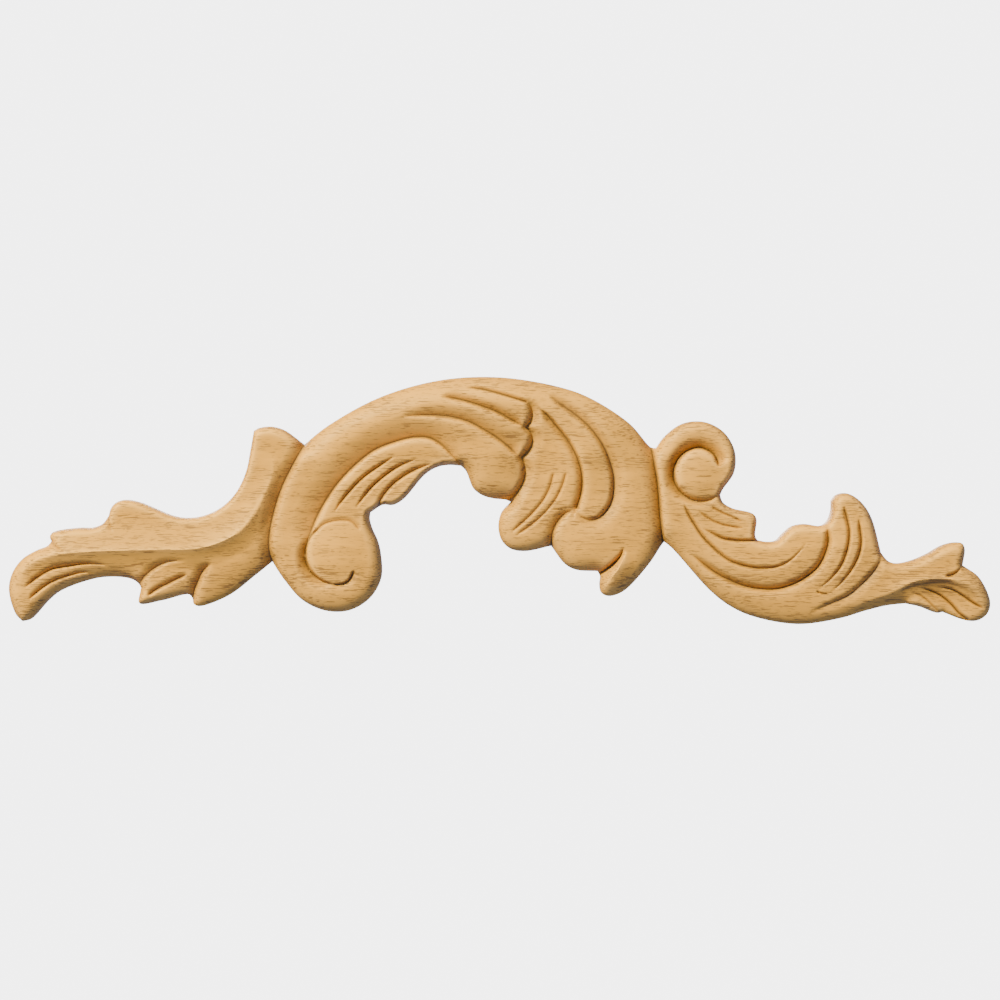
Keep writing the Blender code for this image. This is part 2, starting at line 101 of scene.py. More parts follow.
@dataclass(frozen=True)
class Swell:
    """A rounded swelling or hollow of the face, as a share of the crown's rise."""

    centre: Knot
    half_sizes: tuple[float, float]
    turn: float
    share: float


def curl(centre: Knot, radii: tuple[float, float], angles: tuple[float, float]) -> list[Knot]:
    """Knots on a spiral.

    Args:
        centre: middle of the spiral on the pattern.
        radii: radius at the start and at the end, in squares.
        angles: start and end in degrees, anticlockwise from the right.

    Returns:
        Knots about 30 degrees apart.
    """
    count = max(3, round(abs(angles[1] - angles[0]) / 30) + 1)
    knots = []
    for share in np.linspace(0, 1, count):
        radius = radii[0] + (radii[1] - radii[0]) * share
        angle = math.radians(angles[0] + (angles[1] - angles[0]) * share)
        knots.append((centre[0] + radius * math.cos(angle), centre[1] - radius * math.sin(angle)))
    return knots


def smooth_run(knots: np.ndarray, spacing: float) -> np.ndarray:
    """Points on a smooth curve through knots without corners.

    Args:
        knots: knots, one to a row.
        spacing: distance from point to point, in squares.

    Returns:
        Points, one to a row, with both ends.
    """
    padded = np.vstack([2 * knots[0] - knots[1], knots, 2 * knots[-1] - knots[-2]])
    pieces = []
    for index in range(len(knots) - 1):
        four = padded[index:index + 4]
        times = np.concatenate([[0.0], np.cumsum(np.sqrt(np.hypot(*np.diff(four, axis=0).T)))])
        count = max(2, round(math.hypot(*(four[2] - four[1])) / spacing))
        at = np.linspace(times[1], times[2], count, endpoint=False)[:, None]
        level = [np.repeat(point[None], count, axis=0) for point in four]
        for reach in (1, 2, 3):
            merged = []
            for left in range(len(level) - 1):
                start = times[left] if reach < 3 else times[1]
                end = times[left + reach] if reach < 3 else times[2]
                share = (at - start) / (end - start)
                merged.append(level[left] * (1 - share) + level[left + 1] * share)
            level = merged
        pieces.append(level[0])
    pieces.append(knots[-1:])
    return np.vstack(pieces)


def spline(knots: Knots, spacing: float) -> np.ndarray:
    """Points on a curve through knots, where a knot given twice is a corner.

    Args:
        knots: knots on the pattern.
        spacing: distance from point to point, in squares.

    Returns:
        Points, one to a row, with both ends.
    """
    places = np.array(knots, float)
    corners = [i for i in range(1, len(places)) if np.array_equal(places[i], places[i - 1])]
    ends = [0, *corners, len(places)]
    runs = [smooth_run(places[a:b], spacing) for a, b in zip(ends, ends[1:])]
    return np.vstack([runs[0], *[run[1:] for run in runs[1:]]])


class LeftLeaf:
    """The long plain leaf on the left, with two lobes on its lower side."""

    def upper_side(self) -> list[Stretch]:
        """Outline from the left tip to the notch by the arch."""
        return [
            Stretch((14, 14), [
                (24, 621), (17, 613.5), (10.2, 589), (14, 572), (24, 558.5), (38, 550), (49, 545.5),
                (52.5, 541)]),
            Stretch((6, 6), [
                (52.5, 541), (51.2, 536.5), (54.5, 532), (79, 527.6), (94, 527.3), (104, 523.5),
                (109.5, 516)]),
            Stretch((5, 5), [
                (109.5, 516), (112.5, 507.5), (118, 502), (127, 499.7), (140, 502), (175, 516),
                (192, 517.6), (209, 514), (225, 505), (238, 490.5), (247, 470.5), (250.8, 452),
                (254.5, 431)]),
            Stretch((7, 7), [(254.5, 431), (260, 428), (272, 426.7), (284, 429.8), (304.5, 444.6)]),
        ]

    def lower_side(self) -> list[Stretch]:
        """Outline from the foot of the scroll back to the left tip."""
        return [
            Stretch((36, 36), [
                (272.5, 561.3), (256, 574.6), (228, 595.8), (200, 605.9), (194.6, 603.5),
                (193.3, 598.2)]),
            Stretch((12, 12), [(193.3, 598.2), (190, 594.3), (163, 600.2), (140.5, 602.9), (142, 587.5)]),
            Stretch((14, 14), [
                (142, 587.5), (139, 582.8), (131, 578.3), (102, 577.3), (62, 590), (50, 599),
                (31, 619), (24, 621)]),
        ]

    def strokes(self) -> list[Stroke]:
        """The crest along the leaf, its veins, the edges of its lobes and the seam by the arch."""
        return [
            Stroke(Mark.CREST, (34, 20), (1.8, 1.5), (0.25, 0.4), [
                (20, 576), (40, 559), (60, 554), (100, 551), (150, 549.5), (200, 548), (223, 541.5),
                (242, 530.5), (255.5, 514.5), (265, 496.5), (273, 476), (276, 455.5)]),
            Stroke(Mark.VEIN, (6, 2), (1.8, 1.6), (0.15, 0.5), [
                (27, 587.5), (41, 576.5), (54.5, 569), (70, 566), (90, 563.5), (112, 565)]),
            Stroke(Mark.VEIN, (6, 2), (1.8, 1.6), (0.15, 0.5), [
                (31, 599.5), (41, 590.5), (54.5, 581.5), (70.5, 575.5), (86, 572), (98, 572)]),
            Stroke(Mark.NICK, (4, 6), (2, 2), (0, 0.6), [(48, 539), (57, 545), (68, 553)]),
            Stroke(Mark.NICK, (3, 8), (2, 2), (0, 0.6), [(109.5, 514), (111.5, 524), (115.5, 531.5)]),
            Stroke(Mark.VEIN, (9, 4.5), (1.8, 1.7), (0.3, 0.7), [
                (139, 592), (141.5, 583), (147, 575.5), (156, 568), (166, 563), (176, 561),
                (188, 560.5)]),
            Stroke(Mark.VEIN, (6, 3), (1.5, 1.6), (0.1, 0.2), [
                (149, 595.5), (160, 588), (170, 583), (180, 578), (190, 573.5)]),
            Stroke(Mark.LOBE, (10, 6), (1.6, 1.5), (0.45, 0.35), [
                (192.5, 604), (194, 598), (196, 588.5), (199.5, 580.5), (203.5, 572), (209.5, 565.5),
                (213.5, 562.5)]),
            Stroke(Mark.LOBE, (7, 12), (1.8, 1.5), (0, 0), [
                (307, 441), (292, 468.5), (284.5, 483.5), (277.5, 502.5), (271, 530), (270, 548),
                (273, 563)]),
        ]

    def swells(self) -> list[Swell]:
        """The leaf keeps the general level of the face."""
        return []


class ScrollArch:
    """The arch in the middle: the left scroll, the lobed crown, the palm, the ball and the hook."""

    def upper_side(self) -> list[Stretch]:
        """Outline of the crown from notch to notch."""
        return [
            Stretch((26, 26), [
                (304.5, 444.6), (329, 425.5), (380, 397.6), (440, 380.5), (500, 377.6), (560, 387.4),
                (590, 398.3), (629, 423.5), (650.5, 447), (655.5, 448.3)]),
        ]

    def lower_side(self) -> list[Stretch]:
        """Outline under the arch, from the right notch round the ball, palm and scroll to the left leaf."""
        return [
            Stretch((18, 18), [
                (664, 541.5), (659, 548.5), (648.5, 564), (623, 591), (608, 595.8), (601, 592.3),
                (599.3, 584), (600, 576), (597.5, 571)]),
            Stretch((18, 18), [(597.5, 571), (576, 569.6), (565, 564), (551, 545.8)]),
            Stretch((16, 16), [
                (551, 545.8), (525, 551), (511, 548.8), (502, 540.8), (498.3, 527), (501.3, 512.5),
                (510.5, 501.8)]),
            Stretch((18, 18), [
                (510.5, 501.8), (506, 499.9), (494, 498.6), (483, 495.6), (473.5, 488.5), (466, 471),
                (461, 465.8)]),
            Stretch((5, 5), [
                (461, 465.8), (449, 465), (437.5, 467), (425.5, 474), (403.5, 499), (393, 505),
                (383, 504.8), (370.3, 512.5)]),
            Stretch((8, 24), [(370.3, 512.5), (369.8, 519), (372.6, 529), (377.8, 540.5)]
                    + curl((338, 566), (44.5, 46), (15, -105))
                    + [(303, 599.8), (286, 581), (272.5, 561.3)]),
        ]

    def strokes(self) -> list[Stroke]:
        """The eye, the rib and its flutes, the crown's lobes, the palm, the finger, the ball and the hook."""
        return [
            Stroke(Mark.NICK, (1.5, 5), (1.6, 1.4), (0.1, 0.1),
                   [(361, 530), (352, 521.5)] + curl((337.5, 552), (31.5, 29.5), (90, 140))),
            Stroke(Mark.VEIN, (2, 3), (1.6, 1.5), (0.35, 0.35), curl((337.5, 552), (29.5, 32), (115, 215))),
            Stroke(Mark.CURL, (3.5, 12), (1.4, 1.4), (0.7, 0.45),
                   curl((337.5, 552), (29.5, 32), (125, 195)) + curl((337.5, 552), (32.5, 32), (220, 268))),
            Stroke(Mark.VEIN, (2, 7), (1.5, 1.5), (0.9, 0.1),
                   curl((337.5, 552), (32.5, 32), (225, 275)) + [(349, 580.5), (355, 569.5)]),
            Stroke(Mark.RIB, (24, 3), (1.6, 1.6), (0.2, 0.2), [
                (306.5, 556), (307.5, 545), (311, 533.5), (318, 516), (328.5, 497.5), (340.5, 481),
                (357, 464), (375.5, 450), (395.5, 442), (415, 437.5), (430.5, 438.5), (443.5, 446),
                (455, 458), (464, 468)]),
            Stroke(Mark.VEIN, (4, 2.5), (1.4, 1.6), (0.3, 0.35), [
                (335, 513), (340, 505), (352, 490), (365, 477), (380.5, 466), (397.5, 455)]),
            Stroke(Mark.VEIN, (4, 2.5), (1.4, 1.6), (0.3, 0.35), [
                (356.5, 508.5), (363.5, 498.5), (373, 487), (385.5, 476), (400.5, 466), (418.5, 459)]),
            Stroke(Mark.VEIN, (5, 3), (1.5, 1.8), (0, 0.35), [
                (377.5, 510), (382.5, 498), (391.5, 486.5), (401, 478.5), (415.5, 470), (435, 463)]),
            Stroke(Mark.LOBE, (13, 4.5), (1.6, 1.8), (0.3, 0.1), [
                (398, 418.5), (415, 416), (440, 416), (455, 418), (470, 422.5), (485, 430.5),
                (500.5, 440.5), (512.5, 450.5), (520, 457.5)]),
            Stroke(Mark.LOBE, (9, 4), (1.6, 1.9), (0.2, 0.15), [
                (441, 397), (455, 399), (469.5, 402.5), (484.5, 407.5), (499.5, 413.5), (512.5, 421),
                (525, 427)]),
            Stroke(Mark.VEIN, (4.5, 2.5), (1.5, 1.7), (0.25, 0), [
                (466, 388), (480, 389.5), (495, 393), (510, 397.5), (526, 402.5)]),
            Stroke(Mark.STEP, (11, 7), (1.5, 1.9), (0.12, 0), [
                (523, 401.8), (528, 403.8), (531.5, 408.5), (532.5, 415), (530.5, 422), (526, 427.5),
                (526, 427.5), (531.5, 434), (532.5, 441.5), (528.5, 450.5), (521.5, 457.5),
                (521.5, 457.5), (525, 466.5), (524.5, 477.5), (520, 488), (511, 499), (505, 504)]),
            Stroke(Mark.NICK, (2.5, 4), (1.6, 1.5), (0.05, 0.15), [
                (553.5, 473), (549.5, 488), (542.5, 501), (532.5, 513), (522, 523), (511, 532.5)]),
            Stroke(Mark.NICK, (2.5, 4), (1.6, 1.5), (0.05, 0.15), [
                (566, 472.5), (562, 486), (555, 500), (545.5, 512), (533, 523.5), (515, 536)]),
            Stroke(Mark.LOBE, (3.5, 9), (2, 1.7), (0.2, 0), [
                (535, 406), (546.5, 415.5), (556.5, 427), (567, 440), (575, 454), (580.5, 469.5),
                (582, 483), (580.5, 495), (576.5, 508)]),
            Stroke(Mark.NICK, (2, 2), (2, 2), (0.3, 0.3), [
                (553.5, 424), (562, 436), (570, 450), (575, 462)]),
            Stroke(Mark.NICK, (1.5, 1.5), (2, 2), (0.3, 0.5), [(550, 509.5), (561, 509), (575, 504.5)]),
            Stroke(Mark.LOBE, (13, 6), (1.8, 1.8), (0.12, 0.25), [
                (548.5, 395), (560, 404.5), (575, 415), (590, 428.5), (602, 445), (609, 460),
                (613, 475), (613.5, 488), (611, 502), (605, 512), (597, 518.5), (588, 520), (580, 516),
                (575.5, 509)]),
            Stroke(Mark.LOBE, (4, 10), (2, 1.6), (0.35, 0), [
                (576, 509), (566, 513), (558, 521), (553, 531), (551, 547)]),
            Stroke(Mark.LOBE, (7, 3.5), (1.6, 1.6), (0.5, 0.15), [
                (623, 546.5), (619.5, 556), (613, 563), (598, 574.5)]),
            Stroke(Mark.LOW_CREST, (14, 7), (1.6, 1.6), (0.3, 0.2), [
                (626, 551), (618, 568), (609, 580), (603, 590)]),
        ]

    def swells(self) -> list[Swell]:
        """The eye and its limb, the high crown, the outer finger, the hollow palm, the ball and a lobe."""
        return [
            Swell((338, 552), (36, 36), 0, 0.65),
            Swell((330, 470), (70, 24), -45, 0.5),
            Swell((470, 415), (110, 45), 0, 1.0),
            Swell((590, 450), (60, 26), 55, 0.5),
            Swell((545, 470), (26, 50), 15, -0.45),
            Swell((592, 541), (34, 27), 0, 0.45),
            Swell((492, 466), (26, 26), 0, 0.5),
        ]


class RightLeaf:
    """The curling leaf on the right: its scroll, its lobes and the twisted tip with a fan."""

    def upper_side(self) -> list[Stretch]:
        """Outline from the notch by the arch over the scroll and the lobes to the notch of the tip."""
        return [
            Stretch((14, 6), [(655.5, 448.3)] + curl((696.5, 461.3), (40.7, 38.2), (142, -48))
                    + [(719.6, 495)]),
            Stretch((7, 7), [
                (719.6, 495), (722, 501.8), (731, 507.8), (752, 513.5), (755.8, 519), (754.6, 536),
                (757, 540)]),
            Stretch((7, 7), [
                (757, 540), (766, 541.6), (775, 540.6), (782, 533.5), (791, 526.4), (803, 523.9),
                (820.5, 525.6), (827, 520.5), (830.5, 511), (831, 500.5)]),
            Stretch((7, 10), [
                (831, 500.5), (835, 495.5), (843, 493), (852, 495.6), (863, 505), (871, 519),
                (880, 552.5)]),
            Stretch((9, 9), [
                (880, 552.5), (887.5, 561), (897, 563.2), (911, 560.3), (926, 554), (940, 546),
                (951, 542.7), (960.5, 543), (963.6, 548.5), (961.5, 565)]),
        ]

    def lower_side(self) -> list[Stretch]:
        """Outline from the tip's notch round the fan and back under the stem."""
        return [
            Stretch((13, 13), [
                (961.5, 565), (978, 577.3), (989, 601.5), (986.3, 613), (978, 619.5), (967, 620.5),
                (941.5, 611.6)]),
            Stretch((6, 6), [(941.5, 611.6), (936, 612.6), (920, 606.8), (904, 603.2)]),
            Stretch((26, 26), [
                (904, 603.2), (886, 605.2), (865, 610.3), (840, 617.8), (797, 623.8), (752, 616),
                (730, 606), (710, 590.3), (672, 548), (664, 541.5)]),
        ]

    def strokes(self) -> list[Stroke]:
        """The seam by the arch, the curl, the cuts along the stem, the sprig, the veins and the fan."""
        return [
            Stroke(Mark.SEAM, (4, 17), (2, 2.1), (0, 0), [
                (651, 446), (653.5, 463), (656.5, 480), (658.5, 500), (660, 520), (663, 544)]),
            Stroke(Mark.CURL, (2.5, 12), (1.6, 1.7), (0.08, 0.3),
                   [(718.5, 467), (713.5, 455)] + curl((699.5, 474), (26, 27), (90, 262))),
            Stroke(Mark.LOBE, (7, 6), (1.6, 1.5), (0.15, 0.6),
                   curl((699.5, 474), (27, 28), (205, 318))),
            Stroke(Mark.VEIN, (4, 3), (1.5, 1.8), (0.1, 0.45), [
                (682, 502), (687, 513), (694, 525), (703, 538), (715, 550), (728, 560), (745, 566),
                (760, 568), (777, 566), (789.5, 559.5), (798.5, 550.5), (806, 540)]),
            Stroke(Mark.LOBE, (7, 4.5), (1.6, 1.7), (0.15, 0.1), [
                (691, 554), (702, 563), (715, 572.5), (730, 580.5), (745, 586), (760, 588.5),
                (775, 588.5), (790, 584.5), (805, 576.5), (817, 566), (824, 552.5), (827, 540.5),
                (825, 524)]),
            Stroke(Mark.NICK, (2.5, 2), (1.6, 1.6), (0.1, 0.2), [
                (709.5, 506.5), (719.5, 512), (731.5, 517), (741.5, 522)]),
            Stroke(Mark.NICK, (2.5, 2), (1.6, 1.6), (0.2, 0.2), [
                (697, 510), (706, 517.5), (718, 523.5), (730, 526.5), (743, 528)]),
            Stroke(Mark.VEIN, (4, 2.5), (1.5, 1.6), (0.45, 0), [
                (701, 528), (711, 533), (722, 538.5), (735, 540.5), (756, 540.5)]),
            Stroke(Mark.VEIN, (2.5, 4.5), (1.6, 1.5), (0.1, 0.55), [
                (842, 506), (845, 517.5), (847.5, 530), (847, 542), (844, 554.5), (838.5, 567),
                (828.5, 579), (815, 590.5)]),
            Stroke(Mark.VEIN, (2.5, 4.5), (1.6, 1.5), (0.15, 0.6), [
                (856.5, 518), (858.5, 530), (859.5, 541), (858, 551.5), (853.5, 563), (846.5, 574),
                (837, 585), (827.5, 592.5)]),
            Stroke(Mark.NICK, (1.5, 1.5), (2, 2), (0.2, 0.6), [(814, 591), (822, 593), (831, 592.5)]),
            Stroke(Mark.VEIN, (9, 6), (1.6, 1.5), (0.25, 0.45), [
                (879, 551), (878, 561), (871, 572.5), (860.5, 583.5), (847.5, 594.5), (830.5, 602.5),
                (807.5, 612)]),
            Stroke(Mark.LOW_CREST, (18, 15), (2, 1.3), (0.45, 0.25), [
                (846, 609), (864.5, 600.5), (879.5, 595.5), (890, 591), (900, 585.5), (912, 581),
                (926, 578.5), (940, 578), (953, 579.5), (965, 583.5), (974, 589), (979.5, 596),
                (982, 604)]),
            Stroke(Mark.NICK, (4, 22), (1.4, 1.1), (0.35, 0.55), [
                (896, 592.5), (905, 587), (915, 584), (925, 582), (942, 582), (957, 586), (968, 592),
                (975, 600)]),
            Stroke(Mark.VEIN, (3, 2.5), (1.6, 1.6), (0.2, 0), [
                (918, 587), (930.5, 591), (941, 596.5), (951, 605), (958, 613), (966, 619)]),
            Stroke(Mark.VEIN, (3, 2.5), (1.6, 1.6), (0.2, 0.2), [
                (936, 586), (950.5, 589.5), (961, 595.5), (972, 603), (982, 608.5)]),
            Stroke(Mark.NICK, (3, 2.5), (1.6, 1.6), (0.2, 0), [
                (908, 592), (917, 594.5), (924, 598.5), (931, 605), (938, 611.5)]),
            Stroke(Mark.VEIN, (3, 4), (1.8, 1.5), (0.5, 0.3), [
                (959, 567), (954.5, 572), (949, 575), (942, 576)]),
        ]

    def swells(self) -> list[Swell]:
        """The eye of the scroll, the stem, the upright lobe and the hollow of the fan."""
        return [
            Swell((699.5, 473), (29, 29), 0, 0.65),
            Swell((770, 560), (120, 26), 10, 0.2),
            Swell((850, 540), (26, 45), 0, 0.33),
            Swell((947, 602), (36, 18), -28, -0.85),
        ]


Member = LeftLeaf | ScrollArch | RightLeaf


@dataclass
class Relief:
    """The carved face as a height over the flat back at each place on the pattern, in metres.

    depths holds how deep each kind of cut goes, or how high a crest stands. Rounded cuts have a soft
    shoulder. The core is painted shade: a dark line painted along the bottom of a cut, fainter in the marks
    of core_shades. Deeper cuts also get a wider painted shade, set by dim_share and dim_depth.
    """

    members: tuple[LeftLeaf, ScrollArch, RightLeaf]
    edge_height: float = 0.0068
    face_height: float = 0.0120
    floor_height: float = 0.0030
    crown_rise: float = 0.0040
    depths: dict[Mark, float] = field(default_factory=lambda: {
        Mark.CREST: 0.0036, Mark.LOW_CREST: 0.0019, Mark.SEAM: 0.0044, Mark.STEP: 0.0030, Mark.CURL: 0.0050,
        Mark.RIB: 0.0037, Mark.LOBE: 0.0028, Mark.VEIN: 0.0016, Mark.NICK: 0.0009})
    core_shades: dict[Mark, float] = field(default_factory=lambda: {Mark.NICK: 0.5, Mark.STEP: 0.6})
    rounded: tuple[Mark, ...] = (Mark.SEAM, Mark.STEP, Mark.CURL, Mark.RIB, Mark.LOBE)
    shoulder: float = 0.35
    shoulder_reach: float = 2.4
    narrowest: float = 0.35
    join_power: float = 2.5
    swell_fall: float = 1.2
    edge_power: float = 0.6
    core_width: float = 0.9
    core_share: float = 0.06
    core_start: float = 1.3
    dim_share: float = 0.46
    dim_depth: float = 0.0045

    def outline(self, spacing: float) -> tuple[np.ndarray, np.ndarray]:
        """The closed outline.

        Args:
            spacing: distance from point to point, in squares.

        Returns:
            Its points, clockwise on the pattern, and the edge rounding of the side after each.
        """
        left, arch, right = self.members
        stretches = (left.upper_side() + arch.upper_side() + right.upper_side() + right.lower_side()
                     + arch.lower_side() + left.lower_side())
        points, rounds = [], []
        for stretch in stretches:
            curve = spline(stretch.knots, spacing)[:-1]
            points.append(curve)
            rounds.append(np.linspace(*stretch.edge_rounds, len(curve)))
        return np.vstack(points), np.concatenate(rounds)

    def strokes(self) -> Iterable[Stroke]:
        """Every stroke of the three members."""
        for member in self.members:
            yield from member.strokes()

    @staticmethod
    def nearest(points: np.ndarray, path: np.ndarray) -> tuple[np.ndarray, np.ndarray, np.ndarray]:
        """Where points lie from an open path.

        Args:
            points: places on the pattern.
            path: points of the path in order.

        Returns:
            Distance, side (1 right, -1 left) and share of the path's length at the nearest place on it.
        """
        start, run = path[:-1], np.diff(path, axis=0)
        lengths = np.hypot(*run.T)
        before = np.concatenate([[0.0], np.cumsum(lengths)])
        gaps, sides, shares = [], [], []
        for part in np.array_split(points, max(1, len(points) // BATCH)):
            offset = part[:, None, :] - start[None]
            share = np.clip((offset * run).sum(2) / lengths ** 2, 0, 1)
            gap = np.linalg.norm(offset - share[:, :, None] * run, axis=2)
            pick, row = gap.argmin(1), np.arange(len(part))
            turn = run[pick, 0] * offset[row, pick, 1] - run[pick, 1] * offset[row, pick, 0]
            gaps.append(gap[row, pick])
            sides.append(np.where(turn >= 0, 1, -1))
            shares.append((before[pick] + share[row, pick] * lengths[pick]) / before[-1])
        return np.concatenate(gaps), np.concatenate(sides), np.concatenate(shares)

    @staticmethod
    def inside(points: np.ndarray, ring: np.ndarray) -> np.ndarray:
        """Which points lie within a closed ring.

        Args:
            points: places on the pattern.
            ring: points of the ring in order.

        Returns:
            True for each point within.
        """
        found = np.zeros(len(points), bool)
        for (x0, y0), (x1, y1) in zip(ring, np.roll(ring, -1, axis=0)):
            if y0 == y1:
                continue
            crossed = (y0 > points[:, 1]) != (y1 > points[:, 1])
            found ^= crossed & (points[:, 0] < (x1 - x0) * (points[:, 1] - y0) / (y1 - y0) + x0)
        return found

    @staticmethod
    def edge_share(points: np.ndarray, ring: np.ndarray, rounds: np.ndarray) -> np.ndarray:
        """How far in from the edge points are, as a share of the edge rounding there, with no crease midway.

        Args:
            points: places on the pattern.
            ring: the closed outline.
            rounds: edge rounding of the side after each point of the outline.

        Returns:
            The share at each point: 0 on the edge and over 1 beyond the rounding.
        """
        total = np.zeros(len(points))
        for start, end, width in zip(ring, np.roll(ring, -1, axis=0), rounds):
            run = end - start
            length = math.hypot(*run)
            offset = points - start
            near = offset @ run / length
            away = np.maximum(np.abs(offset[:, 0] * run[1] - offset[:, 1] * run[0]) / length, 0.02)
            for reach, sign in ((near, 1), (near - length, -1)):
                part = reach / (2 * away ** 2 * (reach ** 2 + away ** 2))
                part += np.arctan(reach / away) / (2 * away ** 3)
                total += sign * width ** 3 * part
        return (math.pi / 2 / np.maximum(total, 1e-12)) ** (1 / 3)

    def profile(self, points: np.ndarray, stroke: Stroke) -> tuple[np.ndarray, np.ndarray]:
        """How much one stroke adds or takes away.

        Args:
            points: places on the pattern.
            stroke: the cut or crest.

        Returns:
            Its size at each point, in metres and never below 0, and how much painted shade each point gets
            from the core of the cut, from 0 to 1.
        """
        path = spline(stroke.knots, 3)
        reach = max(stroke.widths) * self.shoulder_reach
        sizes, painted_shades = np.zeros(len(points)), np.zeros(len(points))
        close = ((points > path.min(0) - reach) & (points < path.max(0) + reach)).all(1)
        gap, side, along = self.nearest(points[close], path)
        fade = np.ones(len(gap))
        for length, left in ((stroke.fades[0], along), (stroke.fades[1], 1 - along)):
            if length > 0:
                fade *= np.clip(left / length, 0, 1)
        strength = np.sin(fade * math.pi / 2)
        narrowing = self.narrowest + (1 - self.narrowest) * strength
        width = np.where(side > 0, stroke.widths[1], stroke.widths[0]) * narrowing
        power = np.where(side > 0, stroke.powers[1], stroke.powers[0])
        wall = np.clip(1 - gap / width, 0, 1) ** power
        if stroke.mark in self.rounded:
            shoulder = np.clip(1 - gap / (width * self.shoulder_reach), 0, 1) ** 2
            wall = wall * (1 - self.shoulder) + shoulder * self.shoulder
        sizes[close] = self.depths[stroke.mark] * strength * wall
        # Painted shade: a dark line along the bottom of the cut, which the material mixes into the colour.
        core = np.clip(self.core_start - gap / (self.core_width + self.core_share * width), 0, 1)
        painted_shades[close] = core * strength * self.core_shades.get(stroke.mark, 1.0)
        return sizes, painted_shades

    def height(self, points: np.ndarray) -> tuple[np.ndarray, np.ndarray]:
        """Height of the face over the back.

        Args:
            points: places on the pattern.

        Returns:
            Height at each place, in metres, and how much painted shade each gets from lying in a cut, from 0
            to 1.
        """
        ring, rounds = self.outline(3)
        level = np.full(len(points), self.face_height)
        for member in self.members:
            for swell in member.swells():
                turn = math.radians(swell.turn)
                across, up = points[:, 0] - swell.centre[0], swell.centre[1] - points[:, 1]
                first = (across * math.cos(turn) + up * math.sin(turn)) / swell.half_sizes[0]
                second = (up * math.cos(turn) - across * math.sin(turn)) / swell.half_sizes[1]
                level += self.crown_rise * swell.share * np.exp(-self.swell_fall * (first ** 2 + second ** 2))
        depth, painted_shade = np.zeros(len(points)), np.zeros(len(points))
        for stroke in self.strokes():
            size, within = self.profile(points, stroke)
            if stroke.mark in (Mark.CREST, Mark.LOW_CREST):
                level += size
            else:
                depth += size ** self.join_power
                painted_shade = np.maximum(painted_shade, within)
        depth **= 1 / self.join_power
        # Painted shade also spreads over deep cuts, darker the deeper they go.
        painted_shade = np.maximum(painted_shade, self.dim_share * np.clip(depth / self.dim_depth, 0, 1))
        share = np.clip(self.edge_share(points, ring, rounds), 0, 1)
        height = self.edge_height + (level - self.edge_height) * (1 - (1 - share) ** 2) ** self.edge_power
        return np.maximum(height - depth, self.floor_height), painted_shade


@dataclass
class NodeSheet:
    """A node tree whose nodes are laid out in columns, in the order in which they are added."""

    tree: bpy.types.NodeTree
    rows: int = 4
    count: int = 0

    def node(self, kind: str, **settings: object) -> bpy.types.Node:
        """Adds a node.

        Args:
            kind: the node's type.
            settings: attributes to set on it.

        Returns:
            The new node.
        """
        made = self.tree.nodes.new(kind)
        made.location = (240 * (self.count // self.rows), -280 * (self.count % self.rows))
        self.count += 1
        for name, value in settings.items():
            setattr(made, name, value)
        return made

    def feed(self, sockets: Iterable[bpy.types.NodeSocket], values: Iterable[object]) -> None:
        """Links each input to its value, or sets it where the value is no socket.

        Args:
            sockets: the inputs.
            values: a socket, number, vector or colour for each.
        """
        for socket, value in zip(sockets, values):
            if isinstance(value, bpy.types.NodeSocket):
                self.tree.links.new(value, socket)
            else:
                socket.default_value = value

    def math(self, operation: str, *values: object, clamp: bool = False) -> bpy.types.NodeSocket:
        """Adds a Math node.

        Args:
            operation: what it does.
            values: a socket or a number for each of its inputs.
            clamp: whether the result is kept between 0 and 1.

        Returns:
            Its output.
        """
        made = self.node("ShaderNodeMath", operation=operation, use_clamp=clamp)
        self.feed(made.inputs, values)
        return made.outputs[0]

    def vector(self, operation: str, *values: object) -> bpy.types.NodeSocket:
        """Adds a Vector Math node.

        Args:
            operation: what it does.
            values: a socket or a vector for each of its inputs.

        Returns:
            Its output.
        """
        made = self.node("ShaderNodeVectorMath", operation=operation)
        self.feed(made.inputs, values)
        return made.outputs[0]

    def noise(self, coordinates: bpy.types.NodeSocket, detail: float,
              roughness: float = 0.5) -> bpy.types.Node:
        """Adds a Noise Texture node of scale 1.

        Args:
            coordinates: the socket that it reads, already scaled.
            detail: how many finer layers it has.
            roughness: how strong the finer layers are.

        Returns:
            The new node.
        """
        made = self.node("ShaderNodeTexNoise")
        names = ("Vector", "Scale", "Detail", "Roughness")
        self.feed([made.inputs[name] for name in names], (coordinates, 1.0, detail, roughness))
        return made

    def mixed(self, share: bpy.types.NodeSocket, first: object, second: object) -> bpy.types.NodeSocket:
        """Adds a Mix node for two colours.

        Args:
            share: how much of the second colour there is.
            first: a socket or a colour.
            second: a socket or a colour.

        Returns:
            Its output.
        """
        made = self.node("ShaderNodeMix", data_type="RGBA", blend_type="MIX")
        colours = [socket for socket in made.inputs if socket.type == "RGBA"]
        self.feed((made.inputs["Factor"], *colours), (share, first, second))
        return made.outputs[2]


